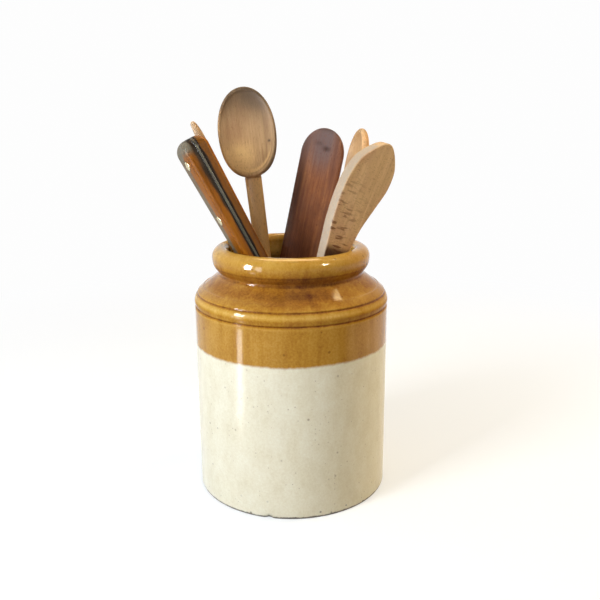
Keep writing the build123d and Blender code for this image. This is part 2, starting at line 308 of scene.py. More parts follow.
class Graph:
    """The nodes of a material or a world. An input takes a number, a colour or a node's output."""

    def __init__(self, owner):
        owner.use_nodes = True
        self.owner = owner
        self.tree = owner.node_tree
        self.tree.nodes.clear()

    def add(self, kind, inputs, **settings):
        made = self.tree.nodes.new("ShaderNode" + kind)
        for key, value in settings.items():
            setattr(made, key, value)
        for key, value in inputs.items():
            if isinstance(value, bpy.types.NodeSocket):
                self.tree.links.new(value, made.inputs[key])
            else:
                made.inputs[key].default_value = value
        return made

    def place(self, stretch=(1, 1, 1)):
        """A point's own place in its piece. A stretch below 1 draws a pattern out along that axis."""
        coords = self.add("Attribute", {}, attribute_name="own_place").outputs["Vector"]
        return self.add("Mapping", {"Vector": coords, "Scale": stretch}).outputs["Vector"]

    def painted(self, name):
        """A value that the mesh carries at each point."""
        return self.add("Attribute", {}, attribute_name=name).outputs["Fac"]

    def math(self, first, second, operation):
        return self.add("Math", {0: first, 1: second}, operation=operation).outputs[0]

    def sum(self, *values):
        total = values[0]
        for value in values[1:]:
            total = self.math(total, value, "ADD")
        return total

    def product(self, first, second):
        return self.math(first, second, "MULTIPLY")

    def swing(self, value, amount):
        """A value from 0 to 1 turned into one from minus to plus half the amount."""
        return self.product(self.math(value, 0.5, "SUBTRACT"), amount)

    def clouds(self, vector, scale, detail=3.0, roughness=0.55, distortion=0.0):
        inputs = {"Vector": vector, "Scale": scale, "Detail": detail, "Roughness": roughness,
                  "Distortion": distortion}
        return self.add("TexNoise", inputs).outputs["Fac"]

    def specks(self, vector, scale, share, size):
        """Round specks: 1 inside a speck and 0 outside. Only a share of the cells holds one."""
        cells = self.add("TexVoronoi", {"Vector": vector, "Scale": scale})
        pick = self.add("SeparateColor", {"Color": cells.outputs["Color"]})
        chosen = self.step(pick.outputs[0], 1 - share, 1 - share + 0.01)
        reach = self.product(pick.outputs[1], size)
        near = self.step(self.math(cells.outputs["Distance"], reach, "SUBTRACT"), 0.06, -0.06)
        return self.product(chosen, near)

    def step(self, value, low, high, start=0.0, end=1.0):
        """Goes smoothly from start to end as the value goes from low to high."""
        inputs = {"Value": value, "From Min": low, "From Max": high, "To Min": start, "To Max": end}
        return self.add("MapRange", inputs, interpolation_type="SMOOTHSTEP").outputs[0]

    def ramp(self, value, colour_stops):
        made = self.add("ValToRGB", {"Fac": value})
        elements = made.color_ramp.elements
        while len(elements) < len(colour_stops):
            elements.new(0.5)
        for element, (place, shade) in zip(elements, colour_stops):
            element.position = place
            element.color = shade
        return made.outputs["Color"]

    def mix(self, share, first, second):
        made = self.add("Mix", {0: share, 6: first, 7: second}, data_type="RGBA")
        return made.outputs[2]

    def tint(self, share, below, screen_colour):
        """Lays a screen colour over what is below it."""
        return self.mix(share, below, colour(*screen_colour))

    def bump(self, height, distance, strength, below=None):
        inputs = {"Height": height, "Distance": distance, "Strength": strength}
        if below is not None:
            inputs["Normal"] = below
        return self.add("Bump", inputs).outputs["Normal"]

    def surface(self, share, first, second):
        return self.add("MixShader", {0: share, 1: first, 2: second}).outputs[0]

    def shader(self, kind, inputs):
        return self.add(kind, inputs).outputs[0]

    def finish(self, **inputs):
        """Ends a material in one surface, and gives the material."""
        named = {key.replace("_", " "): value for key, value in inputs.items()}
        self.add("OutputMaterial", {"Surface": self.shader("BsdfPrincipled", named)})
        return self.owner


def speckled(g, spot, below, specks, where=1.0):
    """Lays a table row of specks over a colour."""
    scale, share, size, strength, shade = specks
    marks = g.product(g.specks(spot, scale, share, size), where)
    return g.tint(g.product(marks, strength), below, shade)


def honey_glaze(g, spot, grain):
    """The honey glaze: darker where it lies thick, with runs, mottling and dark specks, and a faint
    painted reflection in the matt strip.
    """
    mottle = g.clouds(spot, 44, 6, 0.66, 0.4)
    runs = g.clouds(g.place((1, 1, 0.10)), 130, 4, 0.6)
    depth = g.sum(g.painted("depth"), g.sum(g.swing(mottle, 0.34), g.swing(runs, 0.42)))
    honey = g.ramp(g.sum(depth, g.swing(grain, 0.46)), stops(honey_colours))
    honey = speckled(g, spot, honey, honey_specks)
    # Painted reflection: the matt strip is tinted faintly pale, standing in for the room's reflection
    # that its lost gloss would show
    return g.tint(g.product(g.painted("matt"), 0.008), honey, matt_strip_painted_reflection)


def cream_glaze(g, spot, grain, height):
    """The cream glaze, with clay spots that are closer together towards the foot."""
    clay = g.clouds(g.place((1, 1, 0.6)), 90, 6, 0.7)
    cream = g.ramp(g.sum(clay, g.swing(grain, 0.8)), stops(cream_colours))
    cream = speckled(g, spot, cream, cream_specks)
    cream = speckled(g, spot, cream, fine_specks)
    return speckled(g, spot, cream, foot_specks, g.step(height, 0.022, 0.0))


def glazed_stoneware():
    """Honey glaze over the top, cream glaze below, and bare clay at the foot, kept dark there as painted
    contact shade.
    """
    g = Graph(bpy.data.materials.new("glazed_stoneware"))
    spot = g.place()
    height = g.add("SeparateXYZ", {"Vector": spot}).outputs["Z"]
    drift = g.swing(g.clouds(spot, 14, 1), 0.0036)
    ragged = g.swing(g.clouds(spot, 170, 6, 0.75), 0.0028)
    level = g.sum(height, g.sum(drift, ragged))
    below = g.step(level, glaze_line + 0.0014, glaze_line - 0.0014)
    is_cream = g.product(below, g.painted("outside"))
    grain = g.clouds(spot, 620, 3, 0.7)
    shade = g.mix(is_cream, honey_glaze(g, spot, grain), cream_glaze(g, spot, grain, height))

    # Bare clay band at the foot: partly its own colour, partly painted contact shade
    foot = g.product(g.step(g.sum(height, ragged), 0.0022, 0.0010), g.painted("outside"))
    shade = g.mix(foot, shade, g.ramp(g.clouds(spot, 500, 4), stops(clay_and_contact_shade_colours)))
    shade = g.tint(g.painted("chip"), shade, chip_colour)

    rough = g.sum(g.product(is_cream, 0.13), g.product(g.clouds(spot, 55, 2), 0.08))
    rough = g.sum(rough, g.product(foot, 0.6), g.product(g.painted("satin"), 0.45), 0.05)
    shine = g.product(g.step(g.painted("depth"), 0.72, 0.86, 1.0, 0.3), g.painted("gloss"))
    peel = g.bump(g.clouds(spot, 210, 2, 0.5), 0.0005, 0.08)
    relief = g.bump(g.clouds(spot, 26, 2, 0.5), 0.002, 0.12, peel)
    return g.finish(Base_Color=shade, Roughness=rough, Normal=relief, IOR=1.52,
                    Specular_IOR_Level=g.product(shine, 0.21))


def flecked(g, shade, fleck):
    """Lays short dashes across the grain and finer ones between them, as in beech."""
    dashes = g.clouds(g.place((0.22, 1, 1)), 430, 1, 0.4)
    dashes = g.product(g.step(dashes, 0.56, 0.64), g.painted("fleck"))
    fine = g.step(g.clouds(g.place((0.25, 1, 1)), 1150, 3, 0.6), 0.52, 0.68, 0.0, 0.40)
    return g.tint(dashes, g.tint(fine, shade, fleck), fleck)


def varied(g, name, first, first_amount, second, second_amount):
    """A painted value that varies with two patterns."""
    value = g.painted(name)
    value = g.sum(value, g.product(g.swing(first, first_amount), g.painted(name)))
    return g.sum(value, g.product(g.swing(second, second_amount), g.painted(name)))


def wood(name):
    """Wood whose grain runs along the piece's own Z, with painted stain and wear. On some pieces these
    marks also carry painted light and shade.
    """
    look = SimpleNamespace(**{**plain_wood, **woods[name]})
    g = Graph(bpy.data.materials.new(name))
    warp = g.clouds(g.place((1, 1, 0.12)), 30, 2)
    broad = g.clouds(g.place((1, 1, 0.035)), look.rings, 4, 0.55, 1.2)
    fibre = g.clouds(g.place((1, 1, 0.02)), 1500, 4, 0.7)
    cloud = g.clouds(g.place((1, 1, 0.4)), 40, 4, 0.6)
    tone = g.sum(g.swing(broad, look.streak), g.swing(fibre, look.streak * 0.7),
                 g.sum(g.swing(cloud, look.streak), g.swing(warp, look.streak * 0.6)), 0.5)
    shade = g.ramp(tone, stops(((0.18, look.deep), (0.5, look.middle), (0.82, look.pale))))
    if look.blush is not None:
        patch = g.clouds(g.place((1, 1, 0.35)), 80, 5, 0.72)
        shade = g.tint(g.step(patch, 0.40, 0.68, 0.0, 0.6), shade, look.blush)
    if look.fleck is not None:
        shade = flecked(g, shade, look.fleck)

    # The worn colour is real wear on most pieces, and painted light and highlight where a spoon's wear
    # rule lays them
    rubbed = varied(g, "wear", cloud, 0.8, fibre, 1.4)
    shade = g.tint(g.step(rubbed, 0.05, 1.0), shade, look.worn)
    grit = g.step(g.clouds(g.place((1, 1, 0.5)), 1300, 3, 0.7), 0.5, 0.68, 0.0, 0.4)
    shade = g.tint(g.product(grit, g.painted("wear")), shade, look.middle)
    pits = g.step(g.clouds(g.place((1, 1, 0.25)), 1500, 3, 0.6), 0.56, 0.70, 0.0, 0.55)
    shade = g.tint(pits, shade, look.deep)
    # The stain colour is real stain on most pieces, and painted shade and shadow where a piece's stain
    # rule lays them
    marks = varied(g, "stain", cloud, 0.9, fibre, 0.6)
    shade = g.tint(g.step(marks, 0.5 - look.crisp, 0.5 + look.crisp), shade, look.stain)

    relief = g.bump(broad, 0.0006, 0.2, g.bump(fibre, 0.0004, 0.35))
    return g.finish(Base_Color=shade, Roughness=g.sum(g.swing(fibre, 0.25), look.roughness),
                    Normal=relief, Specular_IOR_Level=look.shine)


def aged_steel():
    """Carbon steel gone grey and greenish, with rust spots and fine scratches along it."""
    g = Graph(bpy.data.materials.new("aged_carbon_steel"))
    spot = g.place()
    patches = g.clouds(spot, 90, 5, 0.65)
    scratch = g.clouds(g.place((1, 1, 0.03)), 2200, 2)
    rust = g.step(g.clouds(spot, 320, 4, 0.7), 0.62, 0.74)
    base = g.ramp(patches, stops(steel_colours))
    base = g.tint(g.product(rust, 0.7), base, rust_colour)
    base = g.tint(g.painted("stain"), base, steel_stain)
    rough = g.sum(g.product(patches, 0.3), g.swing(scratch, 0.2), 0.25)
    dull = g.math(rust, g.painted("stain"), "MAXIMUM")
    return g.finish(Base_Color=base, Metallic=g.math(0.6, g.product(dull, 0.5), "SUBTRACT"),
                    Roughness=rough, Normal=g.bump(scratch, 0.0002, 0.3))


def worn_brass():
    """Pale brass, dulled and lightly scratched."""
    g = Graph(bpy.data.materials.new("worn_brass"))
    tarnish = g.clouds(g.place(), 700, 4, 0.6)
    scratch = g.clouds(g.place((0.1, 1, 1)), 5000, 2)
    rough = g.sum(g.product(tarnish, 0.25), g.swing(scratch, 0.2), 0.3)
    return g.finish(Base_Color=g.ramp(tarnish, stops(brass_colours)), Metallic=0.75,
                    Roughness=rough, Normal=g.bump(scratch, 0.0001, 0.25))


def piece(name, surface, place, material):
    """A mesh object with smooth shading at a place in the row frame."""
    mesh = bpy.data.meshes.new(name)
    mesh.from_pydata(surface[0], [], surface[1])
    mesh.validate()
    mesh.update()
    made = bpy.data.objects.new(name, mesh)
    bpy.context.scene.collection.objects.link(made)
    made.matrix_world = place
    made.data.materials.append(material)
    made.data.shade_smooth()
    return made


def carry(made, name, values):
    """Gives every point of a mesh its value from a list."""
    made.data.attributes.new(name, "FLOAT", "POINT").data.foreach_set("value", values)


def paint(made, **rules):
    """Gives every point of a mesh values worked out from its place, one for each rule."""
    for name, value_at in rules.items():
        carry(made, name, [value_at(point.co) for point in made.data.vertices])


def settle(made):
    """Moves a piece's place into its mesh. Its points keep their own places, for the finish."""
    own = [axis for point in made.data.vertices for axis in point.co]
    made.data.attributes.new("own_place", "FLOAT_VECTOR", "POINT").data.foreach_set("vector", own)
    made.data.transform(made.matrix_world)
    made.data.update()
    made.matrix_world = Matrix()


def dress(made, body, node):
    """Ties a finished piece to its body, its finish and the solid that it stands for."""
    settle(made)
    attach(made, body)
    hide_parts(node)


def build(name, surface, place, material, body, slot, node, **rules):
    """Makes a whole piece from its points and faces, and paints it by its rules."""
    made = piece(name, surface, place, material)
    paint(made, **rules)
    dress(made, body, node)


def bake_modifiers(made):
    """Swaps a piece's mesh for what its modifiers make of it."""
    graph = bpy.context.evaluated_depsgraph_get()
    shaped = bpy.data.meshes.new_from_object(made.evaluated_get(graph))
    made.modifiers.clear()
    made.data = shaped
    made.data.shade_smooth()


def smoothed(value):
    """A smooth ramp from 0 to 1."""
    value = min(max(value, 0.0), 1.0)
    return value * value * (3 - 2 * value)


def between(value, low, high):
    """How far a value has gone from low to high, smoothly, from 0 to 1."""
    return smoothed((value - low) / (high - low))


def plateau(value, low, rise, high, fall):
    """1 between low and high. It rises smoothly from low and falls smoothly towards high."""
    return between(value, low, low + rise) * between(high - value, 0.0, fall)


def hump(value, middle, width):
    """A bell that is 1 at its middle."""
    return exp(-((value - middle) / width) ** 2)


def even_steps(low, high, count):
    """Values from above low up to high, all the same step apart."""
    return [low + (high - low) * i / count for i in range(1, count + 1)]


def eased_steps(reach, count):
    """Values from 0 to a reach, closest together at 0, as a rounded end needs them."""
    return [reach * (1 - cos(pi / 2 * i / count)) for i in range(count + 1)]


def full_turn(count):
    """Angles all round a circle, in radians."""
    return [2 * pi * j / count for j in range(count)]


def round_loss(radius, distance):
    """How much a rounded corner takes off a half width at a distance from the end."""
    if distance >= radius:
        return 0.0
    return radius - sqrt(max(0.0, radius ** 2 - (radius - distance) ** 2))


def skin(rings):
    """Points and faces of a closed surface through rings with the same number of points."""
    count = len(rings[0])
    points = [point for ring in rings for point in ring]
    faces = []
    for i in range(len(rings) - 1):
        for j in range(count):
            a, b = i * count + j, i * count + (j + 1) % count
            faces.append((a, b, b + count, a + count))
    for i, flip in ((0, True), (len(rings) - 1, False)):
        hub = len(points)
        points.append(tuple(sum(point[axis] for point in rings[i]) / count for axis in range(3)))
        for j in range(count):
            a, b = i * count + j, i * count + (j + 1) % count
            faces.append((b, a, hub) if flip else (a, b, hub))
    return points, faces


def joined(skins):
    """The points and faces of several surfaces as one."""
    points, faces = [], []
    for more_points, more_faces in skins:
        faces += [tuple(index + len(points) for index in face) for face in more_faces]
        points += more_points
    return points, faces


def utensil_place(node, low_share, high_share):
    """The matrix of a utensil's own frame: Z up its pull axis, from the foot end of its solid.

    Between the two shares of its length the solid is even about its axis, which gives the centre."""
    behaviour = frame["record"]["behaviour"]
    body = next(name for name, nodes in behaviour["bodies"].items() if node in nodes)
    joint = next(j for j in behaviour["joints"] if j["child"] == body)
    up = Vector(joint["axis"]).normalized()
    across = Vector((0, 1, 0)).cross(up).normalized()
    across = Matrix.Rotation(radians(turns[node]), 3, up) @ across
    turned = Matrix((across, up.cross(across), up)).transposed()
    back = turned.inverted()
    spots = [back @ point.co for point in frame["nodes"][node].data.vertices]
    low = min(spot.z for spot in spots)
    length = max(spot.z for spot in spots) - low
    even = [s for s in spots if low_share <= (s.z - low) / length <= high_share]
    middle = [(min(s[axis] for s in even) + max(s[axis] for s in even)) / 2 for axis in (0, 1)]
    return Matrix.Translation(turned @ Vector((*middle, low))) @ turned.to_4x4()


def curve(start, middle, end, t):
    """A point of the curve from start to end that leans towards middle."""
    return tuple((1 - t) ** 2 * start[k] + 2 * t * (1 - t) * middle[k] + t * t * end[k]
                 for k in (0, 1))


def bowed(start, end, sag, count):
    """Points of a shallow bow after its start and up to its end, sagging to its right side."""
    run, rise = end[0] - start[0], end[1] - start[1]
    lean = 2 * sag / hypot(run, rise)
    middle = ((start[0] + end[0]) / 2 + rise * lean, (start[1] + end[1]) / 2 - run * lean)
    return [curve(start, middle, end, i / count) for i in range(1, count + 1)]


def towards(corner, other, ease):
    """The point at a rounding's reach from a corner, or half way to the other if that is nearer."""
    gap = hypot(other[0] - corner[0], other[1] - corner[1])
    share = min(ease, gap / 2) / gap
    return tuple(corner[k] + (other[k] - corner[k]) * share for k in (0, 1))


def softened(corners, count=6):
    """A polyline whose corners (radius, height, rounding) are worn round."""
    points = [corners[0][:2]]
    for before, corner, after in zip(corners, corners[1:-1], corners[2:]):
        start, end = towards(corner, before, corner[2]), towards(corner, after, corner[2])
        points += [curve(start, corner, end, i / count) for i in range(count + 1)]
    return points + [corners[-1][:2]]


def quarter(centre, width, height, start, count):
    """A quarter of an oval, anticlockwise from an angle in degrees, without its first point."""
    angles = [radians(start + 90 * i / count) for i in range(1, count + 1)]
    return [(centre[0] + width * cos(a), centre[1] + height * sin(a)) for a in angles]


def divided(points, longest):
    """The same line with extra points, so that no step is longer than the longest."""
    line = [points[0]]
    for start, end in zip(points, points[1:]):
        length = hypot(end[0] - start[0], end[1] - start[1])
        if length < 1e-7:
            continue
        parts = max(1, ceil(length / longest))
        for i in range(1, parts + 1):
            line.append(tuple(start[k] + (end[k] - start[k]) * i / parts for k in (0, 1)))
    return line


def crock_wall():
    """The outside line from under the foot up to the neck."""
    return softened([
        (0, 0, 0),
        (body_radius, 0, foot_round),
        (body_radius, body_height, 0.0008),
        (body_radius - groove_depth, lower_groove_middle, 0.0007),
        (body_radius, lower_groove_top, 0.0010),
        (body_radius + bead_bulge, bead_middle, 0.0024),
        ((body_radius + band_radius) / 2, upper_groove_low, 0.0011),
        (band_radius - groove_depth / 2, upper_groove_middle, 0.0007),
        (band_radius, upper_groove_top, 0.0008),
        (shoulder_radius, shoulder_height, 0.0007),
        (shoulder_radius - shoulder_step, shoulder_height - shoulder_step, 0.0006),
        (neck_radius + neck_sweep, neck_low, 0.0030),
        (neck_radius, neck_notch, 0.0012),
        (neck_radius + neck_sweep / 4, neck_height, 0),
    ])


def crock_rim():
    """The outside line of the rolled rim, from the neck to the inner edge of the mouth."""
    bulge = neck_radius + (rim_radius - neck_radius) * rim_under_bulge_share
    start = (neck_radius + neck_sweep / 4, neck_height)
    end = (rim_radius, rim_middle)
    sag = hypot(bulge - (start[0] + end[0]) / 2, roll_edge - (start[1] + end[1]) / 2)
    under = bowed(start, end, sag, 18)
    over = quarter((rim_crest_radius, rim_middle), rim_radius - rim_crest_radius, rim_over_rise,
                   0, 18)
    lip = quarter((rim_crest_radius, lip_height), rim_crest_radius - mouth_radius, lip_drop, 90, 14)
    return under + over + lip


def crock_inside():
    """The inside line from the mouth down to the middle of the floor."""
    throat_low = lip_height - throat_height
    inner_radius = body_radius - wall
    return softened([
        (mouth_radius, lip_height, 0),
        (mouth_radius, throat_low, throat_round),
        (inner_radius, throat_low - inner_shoulder_drop, inner_shoulder_round),
        (inner_radius, floor_thickness, floor_round),
        (0, floor_thickness, 0),
    ], 10)


def glaze_depth(height):
    """How thick the glaze lies outside: 0 where it runs thin over a crest and 1 where it pools. Under
    the rim roll it also holds painted shade.
    """
    depth = 0.5 + sum(amount * hump(height, middle, half) for middle, half, amount in glaze_pools)
    slope = plateau(height, shoulder_height, 0.003, neck_notch, 0.0004)
    depth += 0.17 * slope
    depth += 0.05 * between(height, upper_groove_top, upper_groove_top + 0.0005) * (1 - slope)
    depth += 0.05 * between(height, neck_notch, neck_notch + 0.0005)
    # Painted shade: the neck under the rim roll is darker, partly for pooled glaze and partly for the
    # shade under the roll
    depth += 0.10 * plateau(height, neck_notch, 0.0005, roll_edge, 0.0006)
    return depth - 0.20 * between(height, rim_middle - 0.005, rim_middle + 0.004)


def glaze_lean(angle, height):
    """How much thicker the glaze lies on the front of the shoulder than round its sides, less painted
    light on its front right.
    """
    front = max(0.0, cos(angle - radians(lean_angle))) ** 6
    shoulder = between(height, upper_groove_top, shoulder_height - 0.0005)
    shoulder *= between(neck_low + 0.002 - height, 0.0, 0.006)
    neck = plateau(height, neck_low, 0.001, rim_middle - 0.004, 0.002)
    thick = hump(degrees(angle), thick_side_angle, side_spread)
    # Painted light: the front right of the shoulder is painted lighter, where the light from the right
    # falls
    thin = hump(degrees(angle), painted_light_side_angle, side_spread)
    return front * max(0.17 * shoulder, 0.08 * neck) + 0.10 * (thick - thin) * shoulder


def shiny_spot(angle, radius, height):
    """The small glossy spot on the right of the shoulder."""
    turn = (angle - radians(shiny_spot_angle)) * radius / shiny_spot_half_width
    return hump(hypot(turn, (height - shiny_spot_height) / shiny_spot_half_height), 0.0, 1.0)


def strip(angle, middle, half):
    """1 over an upright strip of the pot, and 0 beyond its faded edges."""
    return between(half - abs(degrees(angle) - middle), 0.0, strip_fade)


def glaze_matt(angle, radius, height):
    """Where the glaze is matt: right of the front, where the window would else graze it. There its
    colour takes a faint painted reflection.
    """
    below_lip = between(lip_height - 0.0025 - height, 0.0, 0.0015)
    return strip(angle, matt_angle, matt_half) * below_lip * (1 - shiny_spot(angle, radius, height))


def glaze_gloss(angle, radius, height):
    """How glossy the glaze is: less beside the grooves, on the bead, the shoulder and the neck."""
    lines = max(less * hump(height, middle, half) for middle, half, less in dull_lines)
    slope = 0.50 * (1 - shiny_spot(angle, radius, height))
    slope *= plateau(height, shoulder_height, 0.001, neck_low, 0.001)
    neck = 0.08 * plateau(height, neck_low - 0.003, 0.004, rim_middle - 0.003, 0.003)
    under = 0.95 * plateau(height, neck_height - 0.0012, 0.0012, rim_middle - 0.0018, 0.002)
    return 1 - max(lines, slope, neck, under, glaze_matt(angle, radius, height))


def outside_glaze(angle, radius, height):
    """What the finish reads at a point outside, in the order of glaze_hubs."""
    return (glaze_depth(height) + glaze_lean(angle, height), 1.0, glaze_gloss(angle, radius, height),
            glaze_matt(angle, radius, height), strip(angle, satin_angle, satin_half))


def inside_glaze(height):
    """What the finish reads at a point inside, in the order of glaze_hubs. The glaze is painted darker
    further down from the lip, as painted shade.
    """
    return (0.26 + 0.3 * between(lip_height - height, 0.0, 0.05), 0.0, 1.0, 0.0, 0.0)


def crock_point(angle, radius, height, side):
    """A point of the uneven wall. Its outside (side 1) only shrinks, and its inside only widens."""
    spot = Vector((cos(angle), sin(angle), height * 9))
    wave = noise.noise(spot * 1.3) + 0.35 * noise.noise(spot * 5)
    shrink = crock_wobble * min(1.0, radius / body_radius * 1.5) * (0.5 + 0.4 * wave)
    reach = radius - max(0.0, shrink) * side
    return (reach * cos(angle), reach * sin(angle), height)


def chip_foot(points, outside):
    """Bites a chip out of the foot. Gives how bare each point is."""
    at = radians(chip_angle)
    chip = Vector((body_radius * cos(at), body_radius * sin(at), 0))
    bared = []
    for i, point in enumerate(points):
        gap = (Vector(point) - chip).length
        bite = hump(gap, 0, chip_width) if gap < chip_width * 3 and outside[i] else 0.0
        bared.append(min(1.0, bite * 1.6))
        if bite > 0.01:
            pull = Vector(point) - chip.normalized() * chip_depth * bite
            points[i] = (pull.x, pull.y, pull.z + chip_depth * 0.5 * bite)
    return bared


def crock(material):
    """The turned pot: one lathed skin, a little uneven, with a chip in its foot."""
    angles = full_turn(crock_segments)
    rings, glaze = [], []
    for radius, height in divided(crock_wall() + crock_rim(), crock_step)[1:]:
        rings.append([crock_point(angle, radius, height, 1) for angle in angles])
        glaze += [outside_glaze(angle, radius, height) for angle in angles]
    for radius, height in divided(crock_inside(), crock_step * 2)[1:-1]:
        rings.append([crock_point(angle, radius, height, -1) for angle in angles])
        glaze += [inside_glaze(height)] * crock_segments
    points, faces = skin(rings)
    columns = dict(zip(glaze_hubs, zip(*glaze, *zip(*glaze_hubs.values()))))
    chips = chip_foot(points, columns["outside"])
    made = piece("crock_glazed", (points, faces), Matrix(), material)
    for name, values in columns.items():
        carry(made, name, values)
    carry(made, "chip", chips)
    dress(made, "crock", "crock")


def oval_ring(half_width, half_depth, height, forward):
    """A level oval ring round a utensil's axis, shifted forward."""
    return [(half_width * cos(a), half_depth * sin(a) - forward, height)
            for a in full_turn(48)]


def handle_rings(size):
    """Rings of a round carved handle, from its end up into the back of the bowl."""
    neck = size.length - size.bowl_length
    root_height = neck + size.bowl_length * 0.22
    wall_back, wall_front = size.bowl_depth * 0.83, size.dish_depth * 0.72
    root_half = (wall_back - wall_front) / 2 - 0.0004
    root_forward = size.lip_forward - (wall_back + wall_front) / 2
    ease = size.end_width / 3
    rings = []
    for height in eased_steps(ease, 12):
        half = size.end_width / 2 - round_loss(ease, height)
        rings.append(oval_ring(half, half, height, 0))
    for share in even_steps(0, 1, 60):
        height = ease + (neck - ease) * share
        half_width = (size.end_width + (size.neck_width - size.end_width) * share) / 2
        half_depth = (size.end_width + (size.thickness - size.end_width) * min(1, share * 2)) / 2
        knife_mark = 1 + 0.012 * noise.noise(Vector((size.length, 3 * share, height * 60)))
        rings.append(oval_ring(half_width * knife_mark, half_depth, height, 0))
    for share in even_steps(0, 1, 16):
        half_width = size.neck_width / 2 * (1 - 0.25 * share)
        half_depth = size.thickness / 2 + (root_half - size.thickness / 2) * share
        height = neck + (root_height - neck) * share
        rings.append(oval_ring(half_width, half_depth, height, root_forward * smoothed(share)))
    return rings


def bowl_rows(size):
    """The line of a bowl as (share of its half width, depth), from its back over its lip."""
    edge = size.lip_width * 1.1
    lip_share = 2 * size.lip_width / size.bowl_width
    rows = []
    for a in even_steps(0, pi / 2, 24):
        rows.append((sin(a), edge + (size.bowl_depth - edge) * cos(a)))
    for a in even_steps(0, pi / 2, 8):
        rows.append((1 - lip_share * 0.6 * (1 - cos(a)), edge * (1 - sin(a))))
    for i in range(24):
        a = pi / 2 * (1 - i / 24)
        rows.append(((1 - lip_share) * sin(a), size.dish_depth * cos(a) ** 1.15))
    return rows


def bowl_rings(size):
    """Rings of the bowl, from the middle of its back over its lip to the middle of its dish."""
    middle = size.length - size.bowl_length / 2
    rings = []
    for share, depth in bowl_rows(size):
        ring = []
        for a in full_turn(96):
            wide = 1 + size.egg * sin(a)
            blunt = 1 + bluntness * sin(2 * a) ** 2 * (1 if sin(a) < 0 else 0.3)
            ring.append((size.bowl_width / 2 * share * cos(a) * wide * blunt,
                         depth - size.lip_forward,
                         middle + size.bowl_length / 2 * share * sin(a) * blunt))
        rings.append(ring)
    return rings


def spoon(name, slot, size, material, **rules):
    """A carved spoon: handle and bowl run into each other, then are smoothed like worn wood."""
    surface = joined([skin(handle_rings(size)), skin(bowl_rings(size))])
    made = piece(name + "_carved", surface, utensil_place(name, 0.0, 0.5), material)
    remesh = made.modifiers.new("carve", "REMESH")
    remesh.mode = "VOXEL"
    remesh.voxel_size = voxel
    smooth = made.modifiers.new("wear", "SMOOTH")
    smooth.factor = 0.5
    smooth.iterations = wear_passes
    bake_modifiers(made)
    paint(made, **rules)
    dress(made, name, name)


def up_bowl(point, size):
    """How far up a spoon's bowl a point is: 0 at its neck and 1 at its tip."""
    return (point.z - (size.length - size.bowl_length)) / size.bowl_length


def brown_spoon(material):
    """The brown spoon, dark at its tip, with painted shade round the lower edge of its bowl, a painted
    highlight along its lip, and painted light on the bowl's lower left and on its handle.
    """

    def stain_at(point):
        up = up_bowl(point, brown)
        top = between(up, 0.42, 1.0) * (0.7 + 0.4 * hump(point.x, 0.006, 0.012))
        left = 0.25 * between(-point.x, 0.004, 0.018) * between(up, 0.55, 0.95)
        reach = hypot(point.x / brown_rim_half, (up - 0.5) / 0.5)
        # Painted shade: a dark line inside the lower rim and the bowl's outer lower edge, where its
        # underside is in shade
        lower = between(reach, 0.93, 1.0) + 0.5 * hump(reach, 0.905, 0.014)
        lower *= between(0.45 + point.x * 14 - up, 0.0, 0.35) * between(up, 0.0, 0.04)
        pale_side = 0.20 * between(point.x, 0.004, 0.016) * between(up, 0.0, 0.03)
        off = hypot(point.x - 0.0165, point.z - brown.length + 0.0440)
        speck = 0.9 * hump(off, 0, 0.0011)
        return min(1.0, 0.80 * top + left + 0.6 * lower + pale_side + speck)

    def wear_at(point):
        up = up_bowl(point, brown)
        reach = hypot(point.x / brown_rim_half, (up - 0.5) / 0.5)
        above_neck = between(up, 0.0, 0.03)
        # Painted highlight: a light line along the lip of the bowl
        lip = 0.8 * hump(reach, 0.86, 0.035) * between(0.4 - up, 0.0, 0.25) * above_neck
        # Painted light on the lower left of the bowl
        painted_light_low_left = 0.9 * hump(up, 0.22, 0.22) * between(0.014 - point.x, 0.0, 0.02) * above_neck
        # The handle takes the worn colour all over, as painted light
        return lip + painted_light_low_left + 1.1 * between(-up, 0.0, 0.03)

    spoon("brown_spoon", "brown_wood", brown, material, stain=stain_at, wear=wear_at)


def slim_spoon(material):
    """The pale spoon behind the knife, darker along one side and down its handle."""

    def stain_at(point):
        side = 0.5 * between(point.x, 0.0095, 0.0130)
        return side + 0.35 * between(-up_bowl(point, slim), 0.0, 2.0)

    spoon("slim_spoon", "pale_wood", slim, material, stain=stain_at, wear=lambda point: 0.0)


def small_spoon(material):
    """The small pale spoon, darker along one side and down its handle, with painted light on the other.
    """

    def stain_at(point):
        below_tip = between(small.length - 0.014 - point.z, 0.0, 0.012)
        left = 0.40 * between(-point.x, 0.005, 0.012) * below_tip
        return left + 0.45 * between(-up_bowl(point, small), 0.0, 2.0)

    def wear_at(point):
        # Painted light: the right side is painted bright orange, where the warm light from the right
        # falls
        return 0.75 * between(point.x, 0.0, 0.013)

    spoon("small_spoon", "pale_wood", small, material, stain=stain_at, wear=wear_at)


def board_section(left, right, half_thickness, ease, flats=12, arcs=5):
    """A ring round a board between two edge points (x, z): flat faces and rounded edges."""
    half_width = hypot(right[0] - left[0], right[1] - left[1]) / 2
    ease = max(min(ease, half_width, half_thickness), 1e-6)
    flat = []
    for sign_x, sign_y, start in ((1, 1, 0), (-1, 1, 90), (-1, -1, 180), (1, -1, 270)):
        for i in range(arcs + 1):
            a = radians(start + 90 * i / arcs)
            flat.append((sign_x * (half_width - ease) + ease * cos(a),
                         sign_y * (half_thickness - ease) + ease * sin(a)))
        if start in (0, 180):
            flat += [(sign_x * (half_width - ease) * (1 - 2 * i / flats), sign_y * half_thickness)
                     for i in range(1, flats)]
    ring = []
    for across, depth in flat:
        share = 0.5 + across / (2 * half_width) if half_width > 1e-9 else 0.5
        ring.append((left[0] + (right[0] - left[0]) * share, depth,
                     left[1] + (right[1] - left[1]) * share))
    return ring


